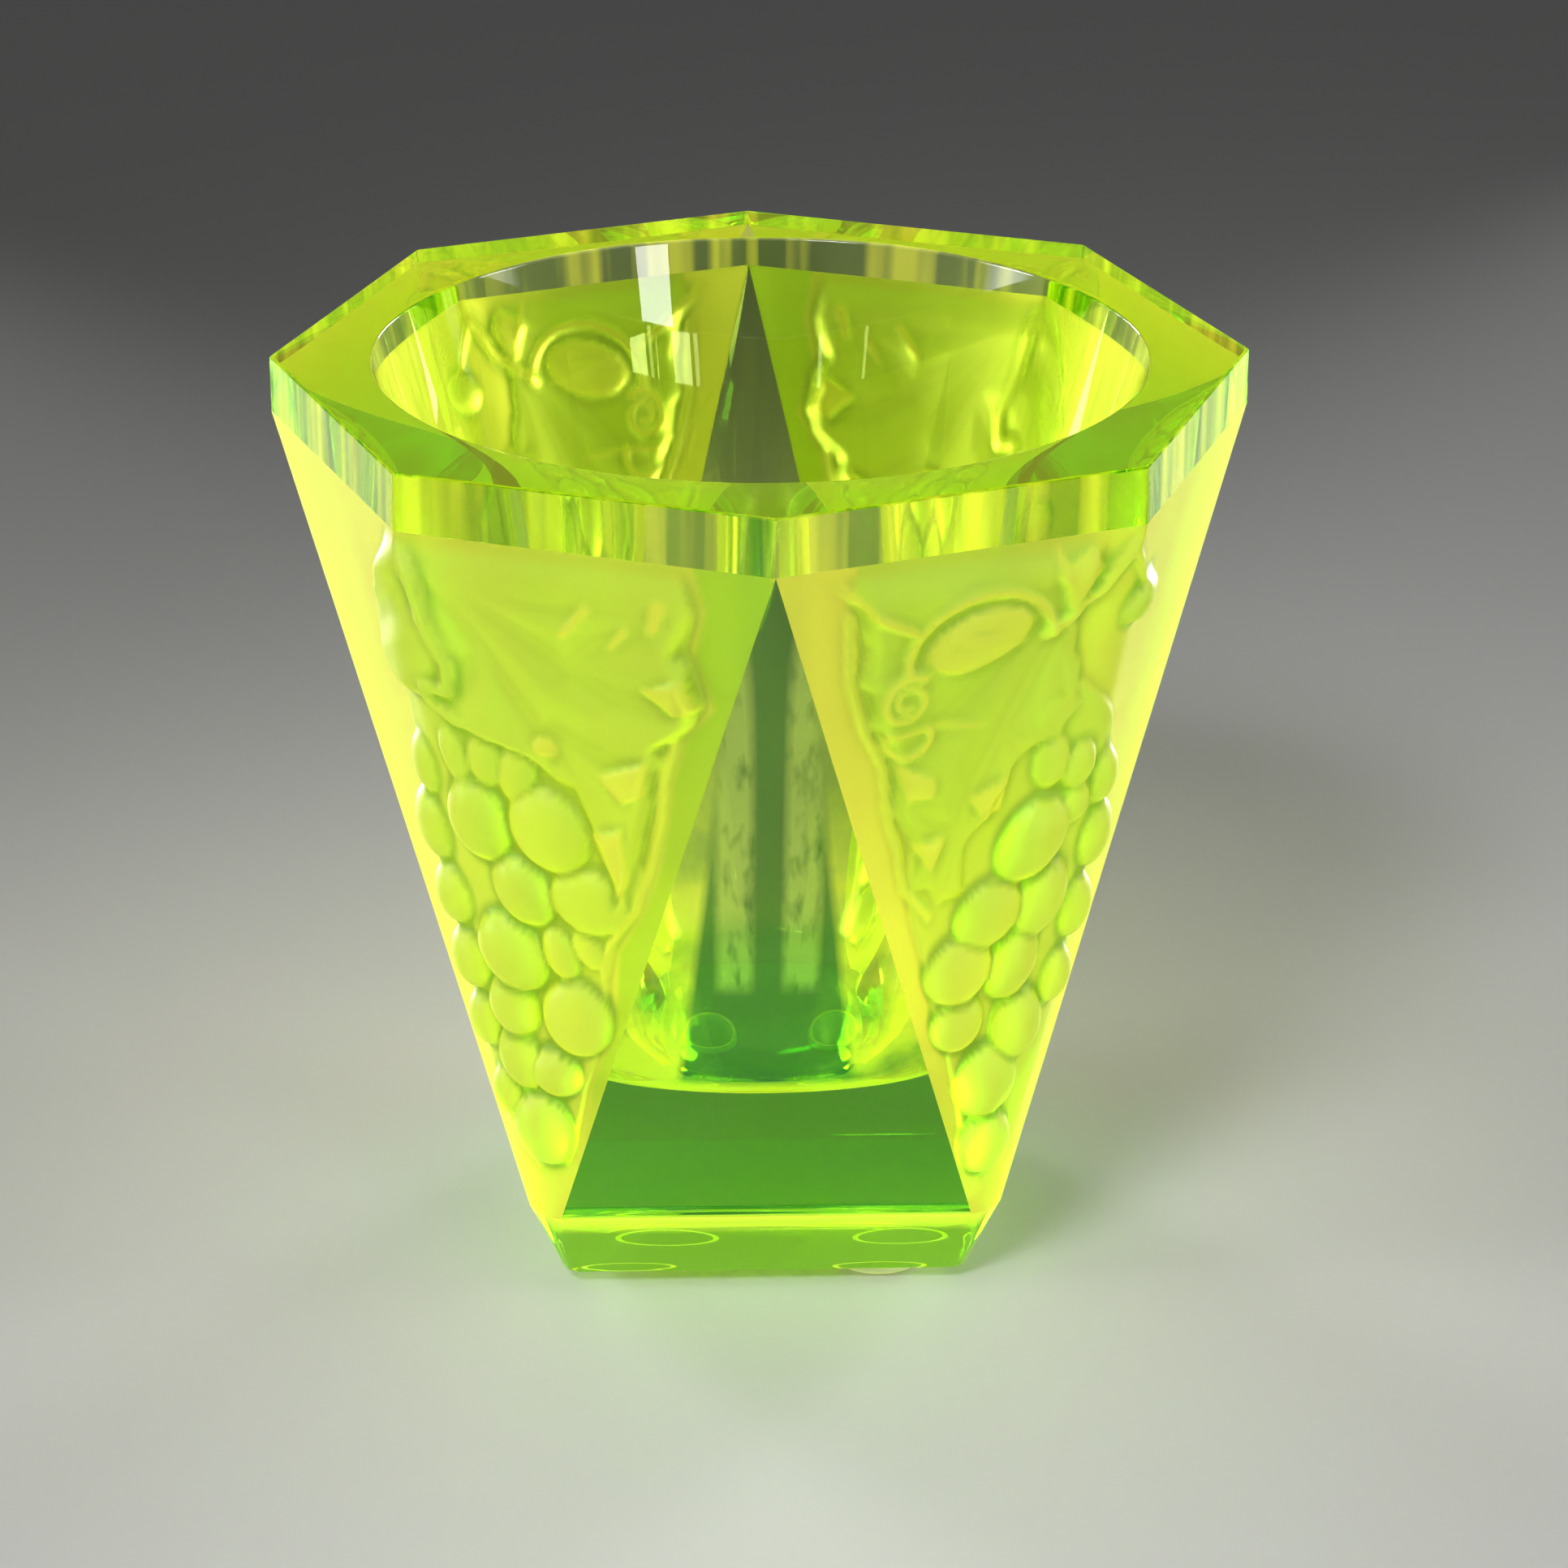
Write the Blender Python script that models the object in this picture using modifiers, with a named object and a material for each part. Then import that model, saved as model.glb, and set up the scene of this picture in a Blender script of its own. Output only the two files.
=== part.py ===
"""Thick cut vase in yellow-green uranium glass, standing on four clear bumper pads.

The glass is one solid. Its outside is cut with flat planes, the way a glass cutter works it: an octagonal
band under the rim, four polished triangular facets, four satin corner panels between them, and a bevelled
square foot. Its inside is one turned well with a tapered wall, a rounded corner and a flat floor.

Origin: the centre of the foot, on the surface that the pads stand on. +Z is up, and a facet faces -Y.
"""

from math import cos, pi, radians, sin, sqrt, tan

import bmesh
import bpy
from mathutils import Matrix, Vector

# Outside of the glass, in metres. Heights are above the underside of the glass.
GLASS_HEIGHT = 0.0899
BAND_HEIGHT = 0.00565          # vertical octagonal band under the rim
FACET_CORNER_RADIUS = 0.0475   # axis to the four rim corners that stand over the facets
PANEL_CORNER_RADIUS = 0.04865  # axis to the four rim corners that stand over the panels
FACET_FOOT_REACH = 0.0234      # axis to the lower edge of a facet
FACET_FOOT_HALF = 0.0203       # half the length of that edge
FOOT_BEVEL_HEIGHT = 0.0078     # height of the lower edge of a facet
BASE_HALF_SIDE = 0.0201        # half the width of the square underside
CORNER_REACH_LOW = 0.0282      # axis to a foot corner, at the underside
CORNER_REACH_HIGH = 0.0310     # axis to a foot corner, at the top of the foot's bevel
TIP_TAPER = 0.25               # how fast the flat tip of a panel spreads outward as it rises
RIM_CHAMFER = 0.0003
BASE_CHAMFER = 0.0005

# Well, in metres. Angles are of the wall's normal below the horizontal.
WELL_FLOOR_HEIGHT = 0.0211
WELL_FLOOR_RADIUS = 0.0137     # flat part of the floor
WELL_CORNER_RADIUS = 0.0050    # tight rounding next to the floor
WELL_FLARE_RADIUS = 0.0323     # wide rounding that runs on into the wall
WELL_FLARE_START = radians(24.6)
WELL_WALL_TILT = radians(16.2)
MOUTH_CHAMFER = 0.0004
WELL_STEPS = 72
CORNER_POINTS = 6
FLARE_POINTS = 3

# Bumper pads, in metres. They were stuck on by hand, so each has its own place.
PAD_RADIUS = 0.0050
PAD_HEIGHT = 0.0015
PAD_CONTACT_RADIUS = 0.0032    # flat disc that touches the table
PAD_RIM_HEIGHT = 0.0007        # where the straight side turns into the dome
PAD_STEPS = 40
PAD_DOME_POINTS = 5
PAD_PLACES = {
    "bumper_front_left": (-0.0135, -0.0120),
    "bumper_front_right": (0.0115, -0.0142),
    "bumper_back_left": (-0.0090, 0.0120),
    "bumper_back_right": (0.0130, 0.0115),
}

GAP = 0.0003                   # between a pad and the glass that it is stuck to
CUT_MARGIN = 0.004             # how far the well's cutter stands above the rim
MERGE = 0.00001
QUARTERS = 4
RIM_SIDES = 8

GLASS_BASE_Z = PAD_HEIGHT      # underside of the glass above the table


def clear_scene():
    """Remove every object that the file opened with."""
    for leftover in list(bpy.data.objects):
        bpy.data.objects.remove(leftover, do_unlink=True)


def make_collection(name):
    """Make a collection and link it to the scene."""
    collection = bpy.data.collections.new(name)
    bpy.context.scene.collection.children.link(collection)
    return collection


def make_material(name, colour, roughness, ior, transmission):
    """Make a Principled BSDF material for one piece."""
    material = bpy.data.materials.new(name)
    material.use_nodes = True
    shader = material.node_tree.nodes["Principled BSDF"]
    shader.inputs["Base Color"].default_value = (*colour, 1.0)
    shader.inputs["Roughness"].default_value = roughness
    shader.inputs["Metallic"].default_value = 0.0
    shader.inputs["IOR"].default_value = ior
    shader.inputs["Transmission Weight"].default_value = transmission
    return material


def make_object(name, mesh, collection, material=None):
    """Wrap a mesh in an object in the given collection."""
    made = bpy.data.objects.new(name, mesh)
    collection.objects.link(made)
    if material is not None:
        mesh.materials.append(material)
    return made


def cut_plane(bm, corner_a, corner_b, corner_c):
    """Slice the solid along the plane through three points, and drop the side away from the axis."""
    normal = (corner_b - corner_a).cross(corner_c - corner_a).normalized()
    inside = Vector((0.0, 0.0, GLASS_HEIGHT / 2))
    if normal.dot(inside - corner_a) > 0.0:
        normal = -normal
    everything = bm.verts[:] + bm.edges[:] + bm.faces[:]
    sliced = bmesh.ops.bisect_plane(
        bm, geom=everything, dist=MERGE, plane_co=corner_a, plane_no=normal, clear_outer=True
    )
    rim = [piece for piece in sliced["geom_cut"] if isinstance(piece, bmesh.types.BMEdge)]
    if rim:
        bmesh.ops.contextual_create(bm, geom=rim)


def quarter_cuts():
    """List the cutting planes of the front quarter, each as three points."""
    band_low = GLASS_HEIGHT - BAND_HEIGHT
    diagonal = PANEL_CORNER_RADIUS / sqrt(2)
    apex = Vector((0.0, -FACET_CORNER_RADIUS, band_low))
    foot_right = Vector((FACET_FOOT_HALF, -FACET_FOOT_REACH, FOOT_BEVEL_HEIGHT))
    foot_left = Vector((-FACET_FOOT_HALF, -FACET_FOOT_REACH, FOOT_BEVEL_HEIGHT))
    panel_right = Vector((diagonal, -diagonal, band_low))
    panel_left = Vector((-diagonal, -diagonal, band_low))
    base_mid = Vector((0.0, -BASE_HALF_SIDE, 0.0))
    across = Vector((1.0, 0.0, 0.0))
    up = Vector((0.0, 0.0, 1.0))
    inward = Vector((0.0, 1.0, 0.0))
    base_rise = base_mid + up * BASE_CHAMFER

    # The foot corner and the flat tip above it face along the diagonal.
    out = Vector((1.0, -1.0, 0.0)).normalized()
    along = Vector((1.0, 1.0, 0.0)).normalized()
    corner_low = out * CORNER_REACH_LOW
    corner_high = out * CORNER_REACH_HIGH + up * FOOT_BEVEL_HEIGHT
    tip_high = corner_high + out * TIP_TAPER + up

    # Small chamfers run along the rim and along the underside.
    rim_drop = up * (GLASS_HEIGHT - RIM_CHAMFER)
    rim_front = Vector((0.0, -FACET_CORNER_RADIUS, 0.0)) + rim_drop
    rim_right = Vector((diagonal, -diagonal, 0.0)) + rim_drop
    rim_left = Vector((-diagonal, -diagonal, 0.0)) + rim_drop
    rim_rise = up + inward / cos(pi / RIM_SIDES)
    return [
        (apex, foot_right, foot_left),
        (apex, panel_right, foot_right),
        (apex, panel_left, foot_left),
        (foot_right, foot_left, base_mid),
        (corner_low, corner_low + along, corner_high),
        (corner_high, corner_high + along, tip_high),
        (rim_front, rim_right, rim_front + rim_rise),
        (rim_front, rim_left, rim_front + rim_rise),
        (base_rise, base_rise + across, base_mid + inward * BASE_CHAMFER),
    ]


def cut_blank():
    """Start from an octagonal prism and cut it with the same planes on all four sides."""
    bm = bmesh.new()
    bmesh.ops.create_cone(
        bm,
        cap_ends=True,
        segments=RIM_SIDES,
        radius1=FACET_CORNER_RADIUS,
        radius2=FACET_CORNER_RADIUS,
        depth=GLASS_HEIGHT,
        matrix=Matrix.Translation((0.0, 0.0, GLASS_HEIGHT / 2)),
    )
    spread = PANEL_CORNER_RADIUS / FACET_CORNER_RADIUS
    for vertex in bm.verts:
        if min(abs(vertex.co.x), abs(vertex.co.y)) > FACET_CORNER_RADIUS / 2:
            vertex.co.x *= spread
            vertex.co.y *= spread
    for quarter in range(QUARTERS):
        turn = Matrix.Rotation(quarter * 2 * pi / QUARTERS, 3, "Z")
        for corners in quarter_cuts():
            cut_plane(bm, *[turn @ corner for corner in corners])
    bmesh.ops.remove_doubles(bm, verts=bm.verts, dist=MERGE)
    bmesh.ops.recalc_face_normals(bm, faces=bm.faces)
    mesh = bpy.data.meshes.new("glass_body")
    bm.to_mesh(mesh)
    bm.free()
    return mesh


def arc_points(centre_r, centre_z, radius, start, end, count):
    """Points of an arc in the profile plane, from one wall normal's angle to another."""
    angles = [start + (end - start) * step / count for step in range(count + 1)]
    return [(centre_r + radius * cos(angle), centre_z - radius * sin(angle)) for angle in angles]


def well_profile():
    """Outline of the well from above the rim down its wall to the axis, as (radius, height) pairs."""
    corner_z = WELL_FLOOR_HEIGHT + WELL_CORNER_RADIUS
    extra = WELL_FLARE_RADIUS - WELL_CORNER_RADIUS
    flare_r = WELL_FLOOR_RADIUS - extra * cos(WELL_FLARE_START)
    flare_z = corner_z + extra * sin(WELL_FLARE_START)
    flare = arc_points(flare_r, flare_z, WELL_FLARE_RADIUS, WELL_WALL_TILT, WELL_FLARE_START, FLARE_POINTS)
    corner = arc_points(
        WELL_FLOOR_RADIUS, corner_z, WELL_CORNER_RADIUS, WELL_FLARE_START, pi / 2, CORNER_POINTS
    )
    wall_foot_r, wall_foot_z = flare[0]
    chamfer_z = GLASS_HEIGHT - MOUTH_CHAMFER
    mouth_r = wall_foot_r + (chamfer_z - wall_foot_z) * tan(WELL_WALL_TILT)
    above = [
        (0.0, GLASS_HEIGHT + CUT_MARGIN),
        (mouth_r + MOUTH_CHAMFER + CUT_MARGIN, GLASS_HEIGHT + CUT_MARGIN),
        (mouth_r, chamfer_z),
    ]
    return above + flare[:-1] + corner + [(0.0, WELL_FLOOR_HEIGHT)]


def pad_profile():
    """Outline of a pad from the top of its axis down its side to the table, as (radius, height) pairs."""
    top = PAD_HEIGHT - GAP
    dome_width = PAD_RADIUS - PAD_CONTACT_RADIUS
    quarter_turns = [pi / 2 * step / PAD_DOME_POINTS for step in range(PAD_DOME_POINTS + 1)]
    dome = [
        (PAD_CONTACT_RADIUS + dome_width * cos(turn), PAD_RIM_HEIGHT - PAD_RIM_HEIGHT * sin(turn))
        for turn in quarter_turns
    ]
    return [(0.0, top), (PAD_RADIUS, top)] + dome + [(0.0, 0.0)]


def turned_object(name, profile, steps, collection, material=None):
    """Turn a profile at +X about Z with a Screw modifier."""
    mesh = bpy.data.meshes.new(name)
    points = [(radius, 0.0, height) for radius, height in profile]
    mesh.from_pydata(points, [(step, step + 1) for step in range(len(points) - 1)], [])
    turned = make_object(name, mesh, collection, material)
    screw = turned.modifiers.new("turn", "SCREW")
    screw.axis = "Z"
    screw.angle = 2 * pi
    screw.steps = steps
    screw.render_steps = steps
    screw.use_merge_vertices = True
    screw.merge_threshold = MERGE
    screw.use_smooth_shade = True
    return turned


def make_glass_body(parts, cutters):
    """The whole glass: the cut outside with the well taken out of it."""
    glass = make_material("uranium_glass", (0.62, 0.90, 0.05), 0.03, 1.5, 1.0)
    body = make_object("glass_body", cut_blank(), parts, glass)
    body.location.z = GLASS_BASE_Z
    well = turned_object("well_cutter", well_profile(), WELL_STEPS, cutters)
    well.location.z = GLASS_BASE_Z
    well.hide_render = True
    well.display_type = "WIRE"
    carve = body.modifiers.new("well", "BOOLEAN")
    carve.operation = "DIFFERENCE"
    carve.solver = "EXACT"
    carve.object = well
    return body


def make_pads(parts):
    """Four clear pads with domed edges under the corners of the foot."""
    clear = make_material("clear_bumper", (0.90, 0.92, 0.86), 0.12, 1.47, 0.9)
    for name, (place_x, place_y) in PAD_PLACES.items():
        pad = turned_object(name, pad_profile(), PAD_STEPS, parts, clear)
        pad.location = (place_x, place_y, 0.0)


def main():
    clear_scene()
    parts = make_collection("uranium_glass_vase")
    cutters = make_collection("cutters")
    make_glass_body(parts, cutters)
    make_pads(parts)


main()
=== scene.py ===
"""Looks for the cut uranium-glass vase: glass with satin vine-and-grape panels, clear pads, stage and camera."""
from math import cos, pi, radians, sin, sqrt, tan
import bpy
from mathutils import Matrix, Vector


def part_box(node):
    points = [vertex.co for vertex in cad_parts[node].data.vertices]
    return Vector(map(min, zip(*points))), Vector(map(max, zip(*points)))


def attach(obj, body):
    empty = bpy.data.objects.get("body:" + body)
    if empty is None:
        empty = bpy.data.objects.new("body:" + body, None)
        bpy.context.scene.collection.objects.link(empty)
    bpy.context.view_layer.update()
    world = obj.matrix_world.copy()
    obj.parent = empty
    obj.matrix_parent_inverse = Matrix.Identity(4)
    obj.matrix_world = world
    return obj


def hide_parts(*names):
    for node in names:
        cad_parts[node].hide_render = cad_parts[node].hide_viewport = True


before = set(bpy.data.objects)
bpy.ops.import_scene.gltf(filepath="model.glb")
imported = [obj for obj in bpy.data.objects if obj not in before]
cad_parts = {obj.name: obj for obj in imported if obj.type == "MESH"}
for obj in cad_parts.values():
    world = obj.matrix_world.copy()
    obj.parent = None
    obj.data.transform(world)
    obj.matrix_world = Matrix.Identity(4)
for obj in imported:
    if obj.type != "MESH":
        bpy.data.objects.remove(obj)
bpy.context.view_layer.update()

from types import SimpleNamespace

import bmesh
import bpy
import numpy as np
from mathutils import Matrix, Vector
from mathutils.geometry import delaunay_2d_cdt

# Lengths are in millimetres, and heights are above the underside of the glass, unless a name ends in _M (metres).
MM = 0.001
glass_low, glass_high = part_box("glass_body")
BASE_Z = glass_low.z / MM
HEIGHT = (glass_high.z - glass_low.z) / MM
FACET_CORNER = glass_high.x / MM

# Outside of the glass.
PANEL_CORNER = 48.65
BAND_LOW = HEIGHT - 5.65
FOOT_TOP = 7.8
FACET_FOOT = (20.3, -23.4)
RIDGE_FOOT = 31.88
BASE_HALF = 20.1
BASE_CORNER_ROUND = 1.6
RIM_CHAMFER = 0.22
BASE_CHAMFER = 0.5
RIDGE_SOFT = 3.4
RIDGE_SOFT_RISE = 7.0
CHAMFER_SWELL = 0.15
CHAMFER_DROP = 0.08

# Relief: rows and columns of a panel, the step of its bed, and how it fades out toward its edges.
ROWS = 150
COLUMNS = 128
BED_STEP = 0.45
EDGE_FADE = 0.8
TOP_FADE = 4.5
GROOVE_DEPTH = 0.24
RAISED_AT = 0.5
COLUMN_WEIGHTS = (0.42, 0.58)  # how close together columns are on the plain side, and how much more elsewhere
PLAIN_EDGE = 0.66
PLAIN_SOFT = 0.22
WEIGHT_SAMPLES = 401
BEND_SAMPLES = 25
RIDGE_SOFT_MOST = 0.86
BERRY_FOOT = 0.25
BERRY_ROUND = 0.62
LEAF_TEETH = (0.7, 4.2, 78.0)
LEAF_EDGE = 1.5
FLESH_REACH = 3.2
RIB_HEIGHT = 0.16
RIB_WIDTH = 0.4
SUBSAMPLES = (-1 / 3, 0.0, 1 / 3)

# Well.
FLOOR_Z = 21.1
FLOOR_R = 13.7
CORNER_R = 5.0
FLARE_R = 32.3
FLARE_START = radians(24.6)
WALL_TILT = radians(16.2)
MOUTH_ROUND = 0.4
MOUTH_STEPS = 3
FLARE_STEPS = 8
CORNER_STEPS = 12
WALL_FOOT_RING = MOUTH_STEPS + 2  # in well_rings, the ring where the straight wall ends

# Pads: radius, height of the rounded edge, and the film of adhesive that joins them to the glass.
PAD_RADIUS = 5.0
PAD_EDGE = 0.75
PAD_CONTACT = 3.2
PAD_FILM = 0.3
PAD_GAP = 0.02
FILM_RADIUS = PAD_RADIUS - 0.3
FILM_SLOPE = 0.05
PAD_CURVE_STEPS = 8
PAD_TURN_STEPS = 64
PAD_MERGE_M = 1e-6
GLUE_OUTER = PAD_RADIUS - 0.25
GLUE_INNER = PAD_RADIUS - 0.8
GLUE_STEPS = 48

# Mesh of the glass: the finish of a face, the shades of a point (painted shade and painted highlights), the weld
# distance and where an edge is sharp.
POLISHED, SATIN, GLUED = 0, 1, 2
SHADES = ("groove_shade", "relief", "painted_shade")
WELD_M = 2e-6
SHARP_ANGLE = radians(26)


# ---------------------------------------------------------------- relief

def smooth(value):
    """Smooth step from 0 at 0 to 1 at 1."""
    value = np.clip(value, 0.0, 1.0)
    return value * value * (3.0 - 2.0 * value)


def segments_distance(u, z, line):
    """Distance from each point to a polyline, and how far along it the nearest point is, from 0 to 1."""
    best = np.full(u.shape, 1e9)
    along = np.zeros(u.shape)
    count = len(line) - 1
    for index in range(count):
        au, az = line[index]
        bu, bz = line[index + 1]
        du, dz = bu - au, bz - az
        share = np.clip(((u - au) * du + (z - az) * dz) / (du * du + dz * dz), 0.0, 1.0)
        away = np.hypot(u - au - share * du, z - az - share * dz)
        nearer = away < best
        best = np.where(nearer, away, best)
        along = np.where(nearer, (index + share) / count, along)
    return best, along


def inside_distance(u, z, outline):
    """Distance to a closed outline, positive inside it."""
    closed = list(outline) + [outline[0]]
    away, _ = segments_distance(u, z, closed)
    inside = np.zeros(u.shape, bool)
    for (au, az), (bu, bz) in zip(closed[:-1], closed[1:]):
        if az == bz:
            continue
        crossing = (az > z) != (bz > z)
        inside ^= crossing & (u < (bu - au) * (z - az) / (bz - az) + au)
    return np.where(inside, away, -away)


def berry(u, z, place, size, height, lean=0.0):
    """An egg-shaped berry that stands a little proud of its bed."""
    a, b = u - place[0], z - place[1]
    turned = (a * cos(lean) + b * sin(lean)) / size[0], (b * cos(lean) - a * sin(lean)) / size[1]
    inner = np.clip(1.0 - turned[0] ** 2 - turned[1] ** 2, 0.0, None)
    return BED_STEP * smooth(inner / BERRY_FOOT) + height * inner ** BERRY_ROUND


def strand(u, z, line, width, height, taper=0.0):
    """A round raised line, such as a stem, a vein or a tendril."""
    away, along = segments_distance(u, z, line)
    local = width * (1.0 - taper * along)
    return height * (1.0 - taper * along) * np.sqrt(np.clip(1.0 - (away / local) ** 2, 0.0, None))


def chip(u, z, corners, lift, tilt):
    """A flat facet that rises from one side of a small outline, like a single wheel cut, and where it shines with
    a painted highlight.
    """
    depth = inside_distance(u, z, corners)
    slope = tilt[0] * (u - corners[0][0]) + tilt[1] * (z - corners[0][1])
    cut = smooth(depth / 0.45)
    return np.where(depth > 0.0, lift + slope, 0.0) * cut, 0.75 * cut


def arc(centre, radii, start, end, count=14):
    """Points of an elliptical arc, with angles in degrees."""
    steps = [radians(start + (end - start) * step / count) for step in range(count + 1)]
    return [(centre[0] + radii[0] * cos(a), centre[1] + radii[1] * sin(a)) for a in steps]


def spiral(centre, radius, start, turns, count=22):
    """Points of a spiral that winds in to a quarter of its radius."""
    points = []
    for step in range(count + 1):
        share = step / count
        angle = radians(start) + 2 * pi * turns * share
        reach = radius * (1.0 - 0.75 * share)
        points.append((centre[0] + reach * cos(angle), centre[1] + reach * sin(angle)))
    return points


def toothed(outline, depth, pitch, level):
    """The same closed outline with uneven small teeth along it, as on the edge of a vine leaf, below a level."""
    made = []
    closed = list(outline) + [outline[0]]
    for (au, az), (bu, bz) in zip(closed[:-1], closed[1:]):
        length = sqrt((bu - au) ** 2 + (bz - az) ** 2)
        if min(az, bz) > level:
            made.append((au, az))
            continue
        teeth = max(1, round(length / pitch))
        out_u, out_z = (bz - az) / length, -(bu - au) / length
        for tooth in range(teeth):
            made.append((au + (bu - au) * tooth / teeth, az + (bz - az) * tooth / teeth))
            share = (tooth + 0.72) / teeth
            reach = depth * (0.55 + 0.45 * sin(5.1 * au + 3.7 * az + 2.3 * tooth))
            made.append((au + (bu - au) * share + out_u * reach, az + (bz - az) * share + out_z * reach))
    return made


def leaf(u, z, outline, veins, body, fold):
    """A vine leaf: a stepped edge, and flesh that folds up in flat planes from its veins."""
    depth = inside_distance(u, z, toothed(outline, *LEAF_TEETH))
    inside = smooth(depth / LEAF_EDGE)
    near = np.full(u.shape, 1e9)
    for vein in veins:
        away, _ = segments_distance(u, z, vein)
        near = np.minimum(near, away)
    flesh = fold * np.minimum(near / FLESH_REACH, 1.0)
    rib = RIB_HEIGHT * np.exp(-((near / RIB_WIDTH) ** 2))
    return inside * (body + flesh + rib)


def motif_a(u, z):
    """Panel with the leaf and the bunch leaning to +u. Returns its height, shine (a painted highlight) and painted
    shade.
    """
    bed = inside_distance(u, z, [
        (1.0, 13.8), (4.6, 15.0), (6.4, 19.5), (8.2, 24.6), (10.4, 29.2), (12.4, 35.6), (13.2, 40.6),
        (16.6, 45.2), (18.6, 50.6), (18.0, 57.0), (14.0, 64.0), (2.0, 70.0), (-6.0, 68.0), (-7.0, 58.0),
        (-7.6, 50.0), (-6.2, 42.4), (-5.2, 34.6), (-3.8, 27.0), (-2.2, 19.0),
    ])
    height = BED_STEP * smooth(bed / 0.5)
    outline = [
        (0.6, 90.0), (-6.2, 78.6), (-9.6, 72.6), (-6.6, 67.6), (-2.8, 66.4), (0.8, 66.0), (4.4, 63.2),
        (8.6, 62.0), (12.6, 58.8), (14.0, 53.2), (15.2, 46.2), (18.2, 50.8), (19.8, 55.2), (21.6, 60.4),
        (23.0, 64.8), (26.4, 67.4), (27.4, 71.2), (26.4, 75.4), (28.4, 79.4), (27.6, 90.0),
    ]
    root = (2.4, 81.4)
    veins = [
        [root, (-1.4, 76.6), (-8.2, 72.8)],
        [root, (7.0, 73.4), (12.4, 63.0), (15.6, 49.0)],
        [root, (11.0, 75.8), (19.0, 70.4), (26.0, 69.2)],
        [root, (12.0, 79.6), (20.0, 79.6), (27.0, 79.4)],
        [(7.0, 73.4), (3.4, 69.4), (1.0, 66.8)],
        [(12.4, 66.0), (17.0, 63.4), (21.6, 61.6)],
        [(15.0, 72.6), (18.6, 76.0), (22.6, 77.6)],
    ]
    berries = [
        ((-3.6, 58.6), (2.5, 3.4), 1.3, 0.1), ((4.6, 61.2), (1.9, 3.2), 1.0, -0.1),
        ((7.6, 60.2), (2.0, 3.6), 1.2, -0.3), ((1.5, 61.0), (1.5, 3.3), 0.9, 0.2),
        ((-4.4, 51.8), (3.3, 4.2), 1.9, 0.2), ((2.8, 54.6), (3.1, 4.7), 2.3, 0.1),
        ((9.8, 54.4), (4.2, 4.9), 2.3, 0.15), ((-3.0, 44.6), (3.0, 3.6), 1.9, 0.0),
        ((5.9, 47.2), (3.1, 4.1), 2.3, 0.3), ((12.4, 46.9), (4.1, 3.9), 1.9, 0.1),
        ((8.4, 40.4), (1.9, 3.1), 1.3, 0.1), ((11.3, 41.4), (1.5, 2.5), 1.0, 0.2),
        ((-2.2, 37.6), (2.7, 3.6), 1.9, 0.1), ((3.5, 40.0), (3.4, 4.6), 2.5, 0.25),
        ((8.7, 33.2), (3.6, 4.7), 2.2, -0.2), ((2.4, 33.6), (2.6, 3.6), 1.9, 0.0),
        ((-2.0, 30.6), (2.3, 3.2), 1.6, 0.0), ((2.0, 27.4), (2.3, 3.7), 1.8, 0.1),
        ((5.4, 26.4), (2.7, 2.9), 2.1, -0.2), ((2.9, 19.4), (3.1, 4.5), 2.2, -0.1),
        ((-0.6, 22.6), (1.9, 3.0), 1.4, 0.0),
    ]
    for place, size, rise, lean in berries:
        height = np.maximum(height, berry(u, z, place, size, rise, lean))
    flesh = leaf(u, z, outline, veins, 1.0, 0.75)
    height = np.where(flesh > 0.25, np.maximum(height * 0.35 + flesh * 0.8, flesh), height)
    edge = strand(u, z, [
        (24.0, 66.0), (22.0, 61.4), (21.0, 57.0), (19.0, 51.2), (16.8, 46.2), (13.8, 42.4), (12.4, 38.6),
    ], 0.45, 0.45)
    height = height + edge
    shine = edge
    for corners, lift, tilt in [
        ([(21.6, 71.8), (26.6, 73.6), (27.4, 69.6), (24.8, 68.9)], 0.45, (0.10, 0.06)),
        ([(15.8, 61.8), (21.8, 64.2), (20.8, 60.0), (18.2, 59.0)], 0.35, (0.10, 0.05)),
        ([(14.4, 76.4), (15.4, 75.8), (18.8, 79.2), (18.0, 80.2)], 0.35, (0.0, 0.0)),
        ([(19.0, 75.4), (19.8, 75.0), (22.0, 77.2), (21.8, 78.8)], 0.3, (0.0, 0.0)),
        ([(23.2, 77.0), (25.0, 77.8), (26.6, 81.2), (24.6, 81.4)], 0.3, (0.04, 0.0)),
        ([(13.4, 54.8), (18.0, 56.6), (17.4, 50.6), (16.0, 46.8)], 0.3, (0.10, 0.04)),
        (arc((11.4, 64.0), (1.4, 1.3), 0, 330, 10), 0.6, (0.0, 0.0)),
    ]:
        rise, cut = chip(u, z, corners, lift, tilt)
        height = height + rise
        shine = np.maximum(shine, cut)
    stem = strand(u, z, [
        (0.0, 84.0), (1.4, 80.0), (1.8, 76.0), (3.2, 71.6), (2.6, 68.6), (0.4, 69.2), (0.6, 67.4), (3.0, 65.2),
    ], 0.7, 1.3, 0.3)
    height = np.where(stem > 0.0, np.maximum(height, 1.15 + stem), height)
    border = np.interp(
        z,
        [14.0, 20.0, 25.0, 30.0, 35.0, 41.0, 46.0, 51.0, 57.0, 61.0, 66.0, 69.5, 75.0, 79.5, 84.0],
        [5.2, 6.6, 8.0, 10.6, 12.4, 13.6, 17.0, 19.4, 21.4, 22.4, 24.6, 27.8, 26.8, 28.6, 28.4],
    )
    # Painted shade: greener to the right of the bunch and on the strip beyond the leaf's border.
    painted_shade = np.maximum(
        smooth((z - 30.0) / 16.0) * 0.45 * np.clip((u - 1.0) / 12.0, 0.0, 1.0) * (1.0 - shine),
        smooth((u - border) / 0.9) * smooth((z - 14.0) / 14.0),
    )
    return np.stack([np.maximum(height, 0.0), shine, painted_shade])


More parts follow.
